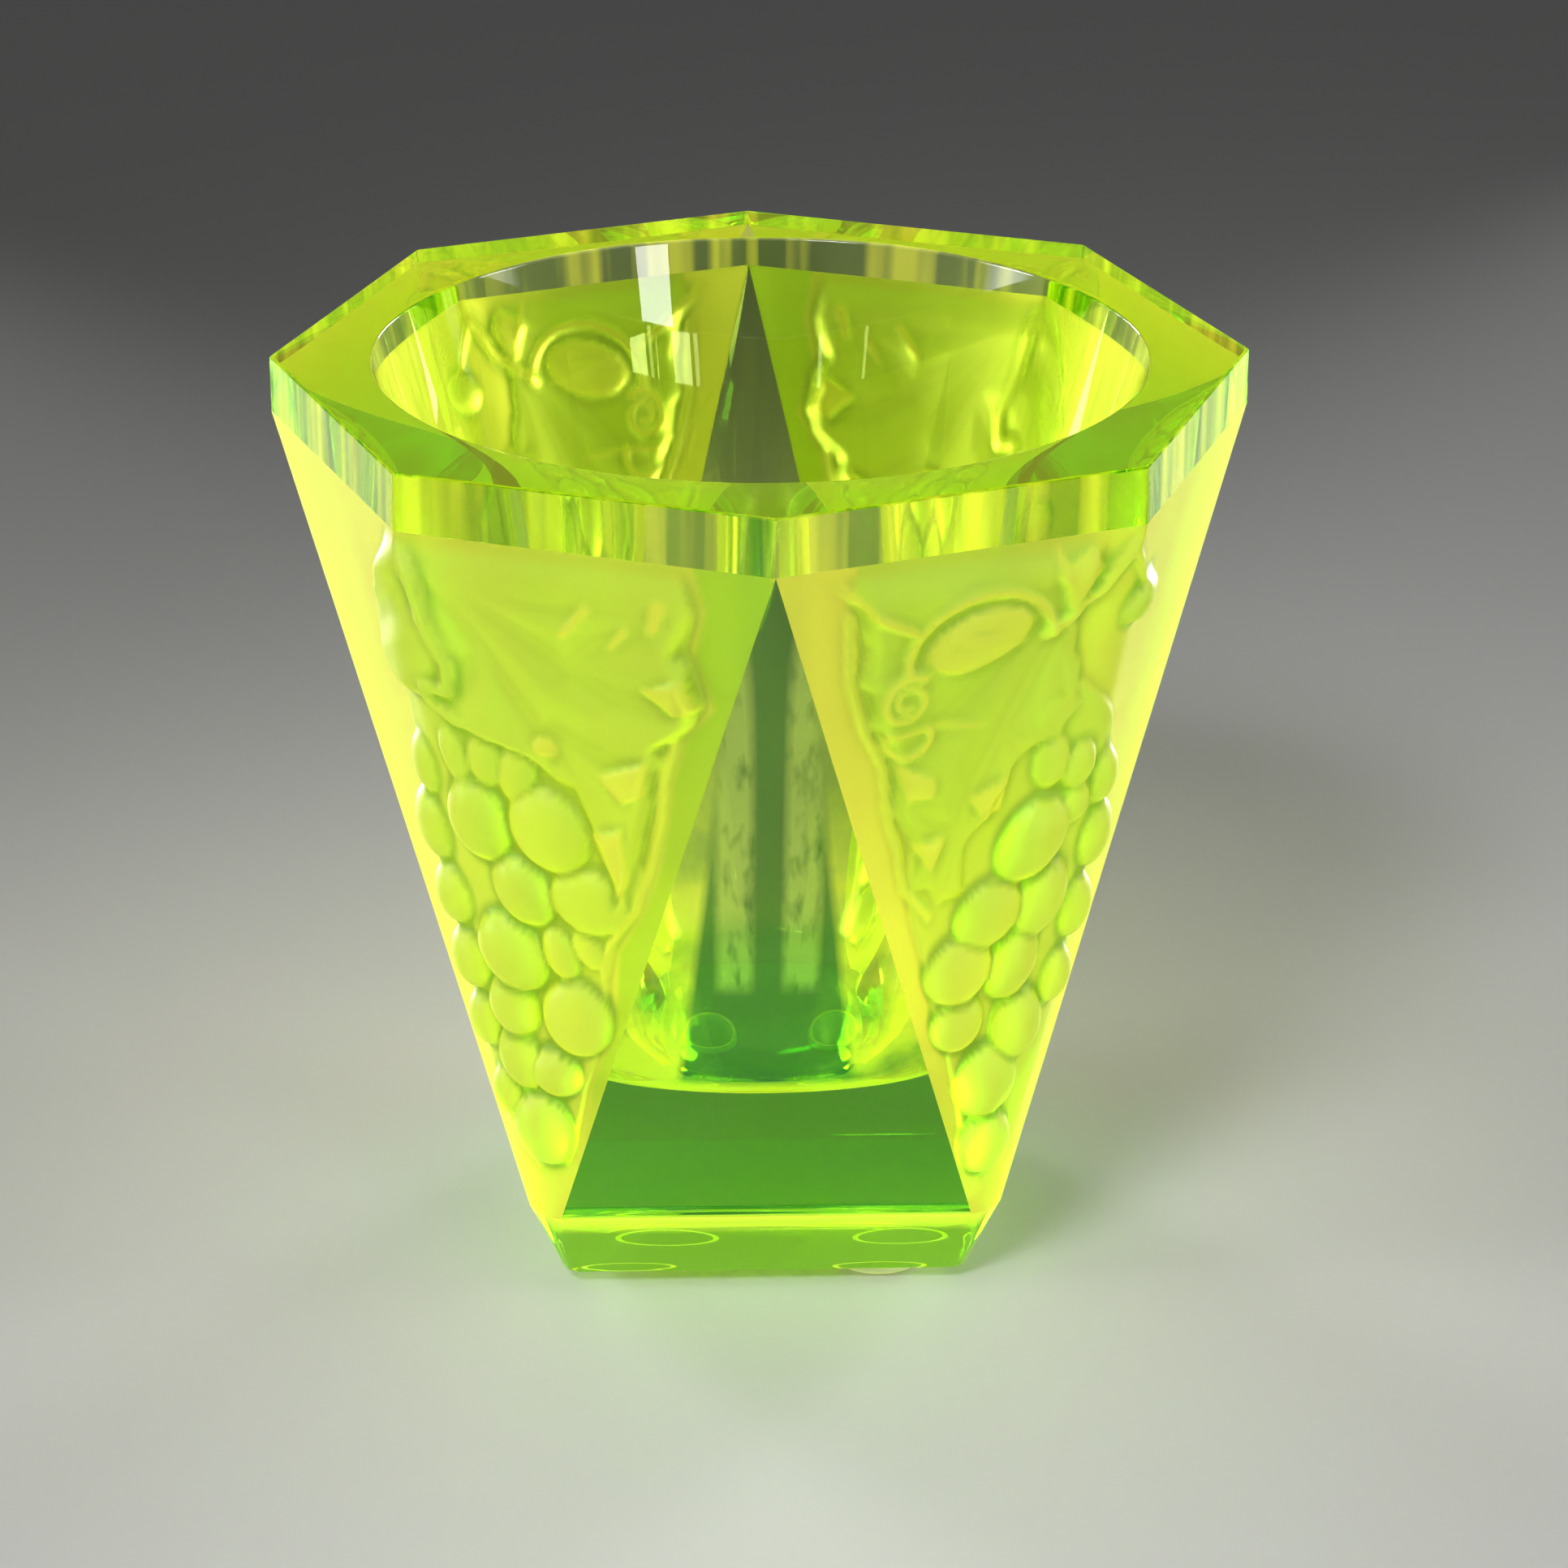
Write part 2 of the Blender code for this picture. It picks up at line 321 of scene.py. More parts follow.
def motif_b(u, z):
    """Panel with the tendrils, the small leaf and the bunch leaning to -u. Returns the same as motif_a."""
    bed = inside_distance(u, z, [
        (-2.4, 12.6), (0.6, 14.2), (1.6, 20.0), (3.4, 27.0), (4.6, 34.0), (5.4, 42.0), (6.4, 50.0), (6.0, 58.0),
        (2.6, 64.0), (-3.0, 69.0), (-12.0, 68.0), (-18.0, 58.0), (-17.6, 50.4), (-16.4, 45.0), (-13.8, 39.0),
        (-11.8, 33.6), (-9.4, 28.4), (-7.2, 22.6), (-5.2, 16.2),
    ])
    height = BED_STEP * smooth(bed / 0.5)
    outline = [
        (-1.2, 90.0), (-4.6, 76.0), (-3.4, 71.0), (-2.0, 66.4), (-3.6, 62.8), (-8.0, 60.6), (-9.4, 55.4),
        (-11.4, 52.0), (-10.0, 47.0), (-14.0, 45.2), (-17.2, 48.0), (-18.2, 53.4), (-20.8, 57.0), (-21.6, 62.2),
        (-24.8, 66.8), (-26.8, 71.6), (-27.2, 76.8), (-29.4, 81.6), (-29.0, 90.0),
    ]
    root = (-5.4, 79.6)
    veins = [
        [root, (-9.0, 71.0), (-12.6, 60.0), (-14.2, 47.6)],
        [root, (-13.0, 72.4), (-19.0, 65.0), (-22.6, 60.8)],
        [root, (-15.0, 77.6), (-22.0, 75.0), (-27.0, 73.0)],
        [root, (-5.4, 72.0), (-4.2, 65.0)],
        [(-11.0, 65.0), (-7.4, 62.4), (-5.2, 62.2)],
        [(-13.4, 54.6), (-16.4, 55.0), (-19.6, 57.4)],
    ]
    berries = [
        ((-6.0, 66.2), (1.9, 2.0), 1.3, 0.0), ((-4.9, 60.6), (2.0, 3.2), 1.2, 0.1),
        ((-1.8, 59.6), (1.9, 2.7), 1.3, -0.1), ((2.4, 57.0), (2.4, 3.2), 1.5, 0.0),
        ((-1.4, 55.4), (1.7, 2.4), 1.4, 0.0), ((3.4, 50.4), (3.0, 4.0), 1.9, 0.0),
        ((-5.2, 52.2), (3.5, 4.9), 2.5, -0.35), ((-3.0, 45.2), (2.7, 4.6), 2.1, -0.2),
        ((-8.2, 44.4), (3.5, 4.1), 2.2, -0.3), ((2.4, 42.6), (2.6, 3.7), 1.8, 0.0),
        ((-10.0, 38.4), (3.5, 4.2), 2.2, 0.1), ((-4.5, 38.4), (2.7, 4.4), 2.1, -0.1),
        ((1.4, 35.2), (2.2, 3.3), 1.6, 0.0), ((-8.8, 32.0), (2.7, 3.4), 1.8, 0.1),
        ((-2.6, 31.0), (2.7, 4.3), 2.2, 0.1), ((-4.5, 24.8), (3.2, 4.5), 2.3, 0.1),
        ((-3.1, 17.3), (2.7, 4.0), 2.0, 0.1),
    ]
    for place, size, rise, lean in berries:
        height = np.maximum(height, berry(u, z, place, size, rise, lean))
    flesh = leaf(u, z, outline, veins, 0.85, 0.6)
    height = np.where(flesh > 0.25, np.maximum(height * 0.5 + flesh * 0.6, flesh), height)
    edge = strand(u, z, [
        (-28.4, 79.0), (-27.2, 72.4), (-24.8, 66.8), (-22.0, 62.2), (-20.8, 57.2), (-18.8, 52.8), (-17.4, 48.2),
        (-14.4, 45.0),
    ], 0.45, 0.45)
    height = height + edge
    shine = edge
    bud = berry(u, z, (-15.4, 75.6), (5.4, 3.2), 0.6, 0.25)
    shine = np.maximum(shine, 0.7 * smooth(bud / 0.4))
    height = height + bud + strand(u, z, [(-19.6, 76.6), (-10.6, 74.6)], 0.35, 0.3)
    height = height + berry(u, z, (3.4, 75.6), (3.6, 2.0), 1.0, 0.35)
    for line, width, rise, taper in [
        (arc((-15.0, 74.0), (7.2, 6.2), 190, 10), 0.5, 0.7, 0.0),
        ([(-31.0, 83.0), (-26.4, 79.4), (-22.2, 77.2)], 0.5, 0.6, 0.0),
        (spiral((-21.6, 70.0), 2.7, 60, 1.7), 0.45, 0.6, 0.3),
        (arc((-20.6, 65.6), (2.2, 2.0), 160, 400), 0.4, 0.5, 0.0),
        ([(-22.6, 66.2), (-17.6, 66.8), (-13.0, 66.2)], 0.35, 0.45, 0.3),
        ([(0.2, 84.0), (-3.2, 78.4), (-5.6, 76.8), (-8.6, 75.0)], 0.8, 1.1, 0.3),
        ([(-0.6, 82.0), (2.0, 79.0), (3.0, 77.4)], 0.5, 0.7, 0.0),
        ([(-9.0, 83.6), (-6.4, 77.6), (-3.6, 80.6)], 0.4, 0.5, 0.0),
    ]:
        height = height + strand(u, z, line, width, rise, taper)
        shine = np.maximum(shine, 0.8 * strand(u, z, line, width, 1.0, taper))
    for corners, lift, tilt in [
        ([(-13.2, 58.2), (-9.0, 60.6), (-9.0, 56.0), (-11.2, 55.2)], 0.4, (0.08, 0.06)),
        ([(-9.2, 81.0), (-5.0, 83.4), (-3.8, 81.0), (-6.2, 78.0)], 0.5, (0.04, 0.04)),
        ([(-18.4, 53.8), (-14.4, 54.6), (-15.4, 50.0)], 0.3, (0.08, 0.06)),
        ([(-21.8, 63.4), (-17.0, 61.4), (-16.6, 59.0), (-19.6, 58.6)], 0.3, (0.05, 0.05)),
    ]:
        rise, cut = chip(u, z, corners, lift, tilt)
        height = height + rise
        shine = np.maximum(shine, cut)
    # Painted shade: greener over the raised parts towards -u, higher up.
    painted_shade = smooth(height / 0.5) * smooth((z - 36.0) / 16.0) * 0.6
    painted_shade = painted_shade * np.clip((-4.0 - u) / 10.0, 0.0, 1.0) * (1.0 - shine)
    return np.stack([np.maximum(height, 0.0), shine, painted_shade])


# ---------------------------------------------------------------- glass mesh

def blurred(values, reach):
    """Box blur of a grid along both axes."""
    kernel = np.ones(2 * reach + 1) / (2 * reach + 1)
    for axis in (0, 1):
        padded = np.pad(values, [(reach, reach) if axis == side else (0, 0) for side in (0, 1)], mode="edge")
        values = np.apply_along_axis(np.convolve, axis, padded, kernel, "valid")
    return values


def column_shares(side):
    """Where the columns of a panel lie, from -1 to 1 across it, closer together on the carved side."""
    places = np.linspace(-1.0, 1.0, WEIGHT_SAMPLES)
    weight = COLUMN_WEIGHTS[0] + COLUMN_WEIGHTS[1] * smooth((side * places + PLAIN_EDGE) / PLAIN_SOFT)
    run = np.concatenate([[0.0], np.cumsum((weight[1:] + weight[:-1]) / 2)])
    return np.interp(np.linspace(0.0, run[-1], COLUMNS + 1), run, places)


def panel_grid(motif, side):
    """Points of the front-right corner panel, with their SHADES as three more values, and the relief.

    Rows run upward and columns from the front facet to the side facet. side is the way the motif reaches, -1 or 1.
    """
    heights = np.linspace(FOOT_TOP, BAND_LOW, ROWS + 1)
    share = ((heights - FOOT_TOP) / (BAND_LOW - FOOT_TOP))[:, None]
    foot = np.array(FACET_FOOT)
    apex = np.array([0.0, -FACET_CORNER])
    left = foot * (1.0 - share) + apex * share
    ridge = (RIDGE_FOOT + (PANEL_CORNER - RIDGE_FOOT) * share) / sqrt(2) * np.array([1.0, -1.0])
    half = np.linalg.norm(left - ridge, axis=1)
    toward_left = (left - ridge) / half[:, None]
    toward_right = np.stack([-toward_left[:, 1], -toward_left[:, 0]], 1)
    soft = np.minimum(RIDGE_SOFT * smooth((BAND_LOW - heights) / RIDGE_SOFT_RISE), RIDGE_SOFT_MOST * half)
    places = np.zeros((ROWS + 1, COLUMNS + 1, 3))
    across = np.zeros((ROWS + 1, COLUMNS + 1))
    bend = np.linspace(0.0, 1.0, BEND_SAMPLES)[:, None]
    shares = column_shares(side)
    for row in range(ROWS + 1):
        start = ridge[row] + toward_left[row] * soft[row]
        end = ridge[row] + toward_right[row] * soft[row]
        curve = (1 - bend) ** 2 * start + 2 * bend * (1 - bend) * ridge[row] + bend ** 2 * end
        right = ridge[row] + toward_right[row] * half[row]
        line = np.vstack([left[row], curve, right])
        run = np.concatenate([[0.0], np.cumsum(np.linalg.norm(np.diff(line, axis=0), axis=1))])
        even = run[-1] * (1.0 + shares) / 2
        places[row, :, 0] = np.interp(even, run, line[:, 0])
        places[row, :, 1] = np.interp(even, run, line[:, 1])
        across[row] = even - run[-1] / 2
    places[:, :, 2] = heights[:, None]
    along_u = np.gradient(places, axis=1)
    along_z = np.gradient(places, axis=0)
    normal = np.cross(along_u, along_z)
    normal /= np.linalg.norm(normal, axis=2, keepdims=True)
    up = places[:, :, 2]
    edge = np.minimum(across - across[:, :1], across[:, -1:] - across)
    fade = smooth(edge / EDGE_FADE) * smooth((BAND_LOW - up) / TOP_FADE)
    step_u, step_z = np.gradient(across, axis=1), heights[1] - heights[0]
    carved = sum(
        motif(across + step_u * share_u, up + step_z * share_z)
        for share_u in SUBSAMPLES for share_z in SUBSAMPLES
    ) / len(SUBSAMPLES) ** 2
    relief, shine = carved[0] * fade, np.clip(carved[1], 0.0, 1.0)
    relief = (relief + blurred(relief, 1)) / 2
    # Painted shade: how deep a point lies in a groove; the satin is darker there and glows less.
    groove_shade = np.clip((blurred(relief, 2) - relief) / GROOVE_DEPTH, 0.0, 1.0)
    # Painted highlight: where the relief shines, its duller tone gives way to the paler ground colour.
    raised = smooth(relief / RAISED_AT) * (1.0 - shine)
    shades = np.stack([groove_shade, raised, carved[2]], 2)
    return np.concatenate([places + normal * relief[:, :, None], shades], 2), relief


def turned(points, quarter):
    """The same points a number of quarter turns on about Z."""
    x, y = points[..., 0], points[..., 1]
    for _ in range(quarter):
        x, y = -y, x
    return np.concatenate([np.stack([x, y], -1), points[..., 2:]], -1)


def well_rings():
    """Radius and height of each ring of the well, from the mouth down to its floor."""
    corner_z = FLOOR_Z + CORNER_R
    extra = FLARE_R - CORNER_R
    flare_r = FLOOR_R - extra * cos(FLARE_START)
    flare_z = corner_z + extra * sin(FLARE_START)
    rings = []
    for step in range(FLARE_STEPS + 1):
        angle = WALL_TILT + (FLARE_START - WALL_TILT) * step / FLARE_STEPS
        rings.append((flare_r + FLARE_R * cos(angle), flare_z - FLARE_R * sin(angle)))
    for step in range(1, CORNER_STEPS + 1):
        angle = FLARE_START + (pi / 2 - FLARE_START) * step / CORNER_STEPS
        rings.append((FLOOR_R + CORNER_R * cos(angle), corner_z - CORNER_R * sin(angle)))
    foot_r, foot_z = rings[0]
    wall_top = HEIGHT - MOUTH_ROUND
    mouth = foot_r + (wall_top - foot_z) * tan(WALL_TILT)
    top = []
    for step in range(MOUTH_STEPS + 1):
        share = step / MOUTH_STEPS * (pi / 2 - WALL_TILT)
        top.append((mouth + MOUTH_ROUND * (1 - sin(share)), HEIGHT - MOUTH_ROUND * (1 - cos(share))))
    return top + [(mouth, wall_top)] + rings + [(FLOOR_R * 0.5, FLOOR_Z)]


class Builder:
    """Collects points and faces, with a finish for each face."""

    def __init__(self):
        self.points = []
        self.faces = []
        self.finishes = []
        self.count = 0

    def add(self, points):
        """Keep points and return the number of the first. Those without shades get 0 for each."""
        points = np.asarray(points, float)
        points = points.reshape(-1, points.shape[-1])
        if points.shape[1] == 3:
            points = np.concatenate([points, np.zeros((len(points), len(SHADES)))], 1)
        first = self.count
        self.points.append(points)
        self.count += len(points)
        return first

    def carved(self, points, relief, finish):
        """Triangles over a grid of points, with each quad split along the diagonal that follows the relief."""
        rows, columns = points.shape[:2]
        first = self.add(points)
        rising = np.abs(relief[1:, 1:] - relief[:-1, :-1])
        falling = np.abs(relief[1:, :-1] - relief[:-1, 1:])
        for row in range(rows - 1):
            for column in range(columns - 1):
                a = first + row * columns + column
                b, c, d = a + 1, a + 1 + columns, a + columns
                if rising[row, column] <= falling[row, column]:
                    self.faces += [(a, b, c), (a, c, d)]
                else:
                    self.faces += [(a, b, d), (b, c, d)]
                self.finishes += [finish, finish]

    def patch(self, points, finish, flip=False):
        """Quads over a grid of points."""
        rows, columns = points.shape[:2]
        first = self.add(points)
        for row in range(rows - 1):
            for column in range(columns - 1):
                a = first + row * columns + column
                quad = (a, a + 1, a + 1 + columns, a + columns)
                self.faces.append(quad[::-1] if flip else quad)
                self.finishes.append(finish)


def closed_loop(line):
    """The same points with the first one repeated at the end."""
    return np.concatenate([line, line[:1]], axis=0)


def pad_places():
    """Name, x and y of each pad, from its CAD solid."""
    places = []
    for name in ("bumper_front_left", "bumper_front_right", "bumper_back_left", "bumper_back_right"):
        low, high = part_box(name)
        places.append((name, (low.x + high.x) / 2 / MM, (low.y + high.y) / 2 / MM))
    return places


def add_upper(built, panels):
    """Band, rim and well. They share the columns of the panels' top row."""
    top = np.concatenate([panel[-1, :-1] for panel in panels], 0)
    radius = np.hypot(top[:, 0], top[:, 1])
    angle = np.arctan2(top[:, 1], top[:, 0])
    rise = top.copy()
    rise[:, 2] = HEIGHT - RIM_CHAMFER
    inner = top.copy()
    inner[:, :2] *= ((radius - RIM_CHAMFER) / radius)[:, None]
    inner[:, 2] = HEIGHT
    loops = [top, rise, inner]
    for ring_r, ring_z in well_rings():
        level = np.full_like(angle, ring_z)
        plain = [0.0 * level] * len(SHADES)
        loops.append(np.stack([ring_r * np.cos(angle), ring_r * np.sin(angle), level] + plain, 1))
    built.patch(np.stack([closed_loop(loop) for loop in loops], 0), POLISHED)
    floor = built.add(loops[-1])
    built.faces.append(tuple(range(floor, floor + len(angle))))
    built.finishes.append(POLISHED)


def add_foot(built, panels):
    """Foot: the bottom row of the panels down to the rounded corners of the base. Returns its last loop."""
    base_loop = []
    turn = np.linspace(-pi / 2, 0.0, COLUMNS + 1)
    middle = BASE_HALF - BASE_CORNER_ROUND
    plain = [0.0 * turn] * (1 + len(SHADES))
    for quarter in range(len(panels)):
        corner = np.stack([
            middle + BASE_CORNER_ROUND * np.cos(turn), -middle + BASE_CORNER_ROUND * np.sin(turn)
        ] + plain, 1)
        base_loop.append(turned(corner, quarter))
    foot_loop = np.concatenate([panel[0] for panel in panels], 0)
    base_loop = np.concatenate(base_loop, 0)
    lower = base_loop.copy()
    lower[:, :2] += (foot_loop[:, :2] - base_loop[:, :2]) * (BASE_CHAMFER / FOOT_TOP)
    lower[:, 2] = BASE_CHAMFER
    inset = base_loop.copy()
    inset[:, :2] *= (BASE_HALF - BASE_CHAMFER) / BASE_HALF
    middle_row = (lower + inset) / 2
    middle_row[:, :2] *= 1.0 + CHAMFER_SWELL / BASE_HALF
    middle_row[:, 2] -= CHAMFER_DROP
    rows = [foot_loop, lower, middle_row, inset]
    built.patch(np.stack([closed_loop(row) for row in rows], 0), POLISHED, flip=True)
    return inset


def add_underside(built, inset):
    """Underside, with a ring for the adhesive of each pad."""
    outline = [Vector((x, y)) for x, y in inset[:, :2]]
    points, edges = list(outline), []
    for index in range(len(outline)):
        edges.append((index, (index + 1) % len(outline)))
    pads = pad_places()
    for _, pad_x, pad_y in pads:
        for reach in (GLUE_OUTER, GLUE_INNER):
            first = len(points)
            for step in range(GLUE_STEPS):
                around = 2 * pi * step / GLUE_STEPS
                points.append(Vector((pad_x + reach * cos(around), pad_y + reach * sin(around))))
                edges.append((first + step, first + (step + 1) % GLUE_STEPS))
    flat, _, triangles, _, _, _ = delaunay_2d_cdt(points, edges, [list(range(len(outline)))], 1, 1e-6)
    first = built.add([(point.x, point.y, 0.0) for point in flat])
    for triangle in triangles:
        x = sum(flat[corner].x for corner in triangle) / 3
        y = sum(flat[corner].y for corner in triangle) / 3
        glued = any(
            GLUE_INNER < sqrt((x - pad_x) ** 2 + (y - pad_y) ** 2) < GLUE_OUTER for _, pad_x, pad_y in pads
        )
        built.faces.append(tuple(first + corner for corner in reversed(triangle)))
        built.finishes.append(GLUED if glued else POLISHED)


def glass_mesh():
    """One closed mesh of the whole glass: points and their shades, faces and their finishes."""
    built = Builder()
    shapes = (panel_grid(motif_b, -1.0), panel_grid(motif_a, 1.0))
    panels = [turned(shapes[quarter % 2][0], quarter) for quarter in range(4)]
    for quarter, panel in enumerate(panels):
        built.carved(panel, shapes[quarter % 2][1], SATIN)

    # Facets: strips between the last column of one panel and the first column of the next.
    for quarter in range(4):
        near = panels[quarter - 1][:, -1]
        far = panels[quarter][:, 0]
        built.patch(np.stack([near, far], 1), POLISHED)
    add_upper(built, panels)
    add_underside(built, add_foot(built, panels))

    points = np.concatenate(built.points, 0)
    points[:, 2] += BASE_Z
    return points[:, :3] * MM, points[:, 3:], built.faces, built.finishes


def welded(name, points, shades, faces, finishes):
    """Make a mesh, join points that coincide and mark the cut edges sharp."""
    mesh = bpy.data.meshes.new(name)
    mesh.from_pydata(points.tolist(), [], faces)
    for index, shade in enumerate(SHADES):
        mesh.attributes.new(shade, "FLOAT", "POINT").data.foreach_set("value", shades[:, index].copy())
    mesh.attributes.new("finish", "FLOAT", "FACE").data.foreach_set("value", [float(value) for value in finishes])
    bm = bmesh.new()
    bm.from_mesh(mesh)
    bmesh.ops.remove_doubles(bm, verts=bm.verts, dist=WELD_M)
    bmesh.ops.dissolve_degenerate(bm, dist=WELD_M, edges=bm.edges)
    bmesh.ops.recalc_face_normals(bm, faces=bm.faces)
    finish = bm.faces.layers.float["finish"]
    for face in bm.faces:
        face.smooth = True
    for edge in bm.edges:
        relief = all(face[finish] == SATIN for face in edge.link_faces)
        edge.smooth = relief or edge.calc_face_angle(0.0) < SHARP_ANGLE
    bm.to_mesh(mesh)
    open_edges = sum(1 for edge in bm.edges if not edge.is_manifold)
    print("glass mesh", len(bm.faces), "faces, open or doubled edges:", open_edges)
    bm.free()
    return mesh


# ---------------------------------------------------------------- materials

# The glass itself. The surface colours tint what passes through, some of them with painted shade, and a glow is
# painted light that the surface gives off.
GLASS_IOR = 1.5
ABSORB_COLOUR = (0.825, 0.957, 0.0, 1.0)
ABSORB_DENSITY = 110.0
POLISHED_ROUGHNESS = 0.015
POLISHED_GLOW = (0.003, 0.011, 0.0)
CLEAR_TINT = (0.99, 1.0, 0.95)
CLOUD_SCALE, WAVE_SCALE, GRAIN_SCALE = 140.0, 90.0, 5200.0
WAVE_RISE, GRAIN_RISE = 0.035, 0.025
BUMP_M = 0.0005

# Satin panels: a painted glow, stronger low down.
SATIN_ROUGHNESS = (0.42, 0.60)
SATIN_DIFFUSE = 0.40
SATIN_GROUND = (1.0, 0.81, 0.08)
SATIN_RELIEF = (0.76, 0.79, 0.08)
# Colour of the painted shade across the panels.
SATIN_PAINTED_SHADE = (0.36, 0.62, 0.01)
# Painted shade in the grooves: their colour and their dimmer glow.
SATIN_GROOVE_SHADE = (0.36, 0.46, 0.02)
GROOVE_SHADE_GLOW = (0.05, 0.06, 0.0)
SATIN_GLOW_LOW = (0.28, 0.235, 0.004)
SATIN_GLOW_HIGH = (0.10, 0.09, 0.004)
GLOW_LOW_M = 0.008
GLOW_HIGH_M = 0.074

# Rim and band: painted glow, on the band in streaks. The streaks are only on the outside of the band.
RIM_GLOW = (0.19, 0.17, 0.0)
RIM_DEPTH = 0.1
BAND_GLOW = (0.42, 0.38, 0.02)
BAND_INNER_M = 0.0425
STREAK_STRETCH = 0.03
STREAK_SCALE = 330.0
STREAK_RANGE = (0.46, 0.66)

# Foot, its upper edge, and the film of adhesive over the pads: painted glow on each, and a painted highlight along
# the upper edge.
FOOT_GLOW = (0.0, 0.065, 0.0)
BEVEL_GLOW = (0.14, 0.26, 0.0)
FOOT_EDGE_GLOW = (0.80, 0.85, 0.04)
FOOT_EDGE_ABOVE_M = 0.0004
FOOT_EDGE_BELOW_M = 0.0022
# Painted shade: the base, seen from inside the glass below the well, darker and greener.
UNDERSIDE_SHADE = (0.28, 0.90, 0.03)
UNDERSIDE_FADE = 4.0
GLUE_GLOW = (0.30, 0.34, 0.02)

# The well's wall seen from inside the glass: painted shade in a dark column behind each facet with two pale
# painted reflections, painted light in a bright wedge on each side of it, and a painted highlight on the lip
# where the wall turns into the floor.
WELL_GAP = 0.9
COLUMN_SHADE = (0.07, 0.26, 0.01)
COLUMN_HALF_M = 0.0102
COLUMN_TAPER = 0.105
COLUMN_SOFT_M = 0.0009
REFLECTION_TINT = (0.98, 1.0, 1.0)
REFLECTION_GLOW = (0.12, 0.13, 0.08)
REFLECTION_INNER_M = (0.0010, 0.0019)
REFLECTION_OUTER_M = (0.0050, 0.0040)
REFLECTION_LOW_M = 0.0355
REFLECTION_LOW_SOFT_M = 0.002
REFLECTION_SCALE = 900.0
REFLECTION_RANGE = (0.22, 0.50)
# Painted light on the wedges and a painted highlight on the lip.
WEDGE_GLOW = (0.56, 0.47, 0.02)
WEDGE_FADE_M = (0.066, 0.040)
WEDGE_RANGE = (0.30, 0.60)
LIP_GLOW = (0.62, 0.58, 0.02)
LIP_RISE = 0.15
LIP_FADE_M = (0.0014, 0.0004)

# Pads and floor. The pads have a yellow tint and a painted glow, for the glass's light falling on them.
PAD_COLOUR = (0.94, 0.96, 0.76, 1.0)
PAD_GLOW = (0.60, 0.75, 0.15, 1.0)
PAD_GLOW_STRENGTH = 0.20
PAD_IOR = 1.47
PAD_TRANSMISSION = 0.62
PAD_ROUGHNESS = (0.05, 0.16)
PAD_NOISE_SCALE = 600.0
FLOOR_COLOURS = (0.53, 0.53, 0.525), (0.57, 0.57, 0.565)
FLOOR_ROUGHNESS = 0.55
FLOOR_NOISE_SCALE = 3.0


def new_material(name):
    """A new material with its node tree, its shader and its output node."""
    material = bpy.data.materials.new(name)
    material.use_nodes = True
    tree = material.node_tree
    return material, tree, tree.nodes["Principled BSDF"], tree.nodes["Material Output"]


def math_node(tree, operation, first, second):
    """Value of one operation on two sockets or numbers, kept between 0 and 1."""
    made = tree.nodes.new("ShaderNodeMath")
    made.operation = operation
    made.use_clamp = True
    for socket, value in zip(made.inputs, (first, second)):
        if isinstance(value, (int, float)):
            socket.default_value = value
        else:
            tree.links.new(value, socket)
    return made.outputs["Value"]


def product(tree, first, *others):
    """Product of several sockets or numbers between 0 and 1."""
    for other in others:
        first = math_node(tree, "MULTIPLY", first, other)
    return first


def absolute_node(tree, value):
    """A value without its sign. Unlike math_node it can take a negative value."""
    made = tree.nodes.new("ShaderNodeMath")
    made.operation = "ABSOLUTE"
    tree.links.new(value, made.inputs[0])
    return made.outputs["Value"]


def ramp_node(tree, value, start, end, low=0.0, high=1.0):
    """Value that goes from low to high as the socket goes from start to end, and stays between them."""
    made = tree.nodes.new("ShaderNodeMapRange")
    made.inputs["From Min"].default_value = start
    made.inputs["From Max"].default_value = end
    made.inputs["To Min"].default_value = low
    made.inputs["To Max"].default_value = high
    tree.links.new(value, made.inputs["Value"])
    return made.outputs["Result"]


def noise_node(tree, place, scale, detail):
    """Noise in the piece's own coordinates."""
    made = tree.nodes.new("ShaderNodeTexNoise")
    made.inputs["Scale"].default_value = scale
    made.inputs["Detail"].default_value = detail
    tree.links.new(place, made.inputs["Vector"])
    return made.outputs["Fac"]


def scaled_node(tree, place, scale):
    """A place with each of its coordinates scaled."""
    made = tree.nodes.new("ShaderNodeMapping")
    made.inputs["Scale"].default_value = scale
    tree.links.new(place, made.inputs["Vector"])
    return made.outputs["Vector"]


def length_node(tree, vector):
    """Length of a vector."""
    made = tree.nodes.new("ShaderNodeVectorMath")
    made.operation = "LENGTH"
    tree.links.new(vector, made.inputs["Vector"])
    return made.outputs["Value"]


def mix_colour(tree, share, first, second):
    """Blend of two colours or sockets."""
    made = tree.nodes.new("ShaderNodeMix")
    made.data_type = "RGBA"
    tree.links.new(share, made.inputs["Factor"])
    for name, value in (("A", first), ("B", second)):
        if isinstance(value, tuple):
            made.inputs[name].default_value = value + (1.0,)
        else:
            tree.links.new(value, made.inputs[name])
    return made.outputs["Result"]


def attribute(tree, name):
    """Value of an attribute of the mesh."""
    made = tree.nodes.new("ShaderNodeAttribute")
    made.attribute_name = name
    return made.outputs["Fac"]


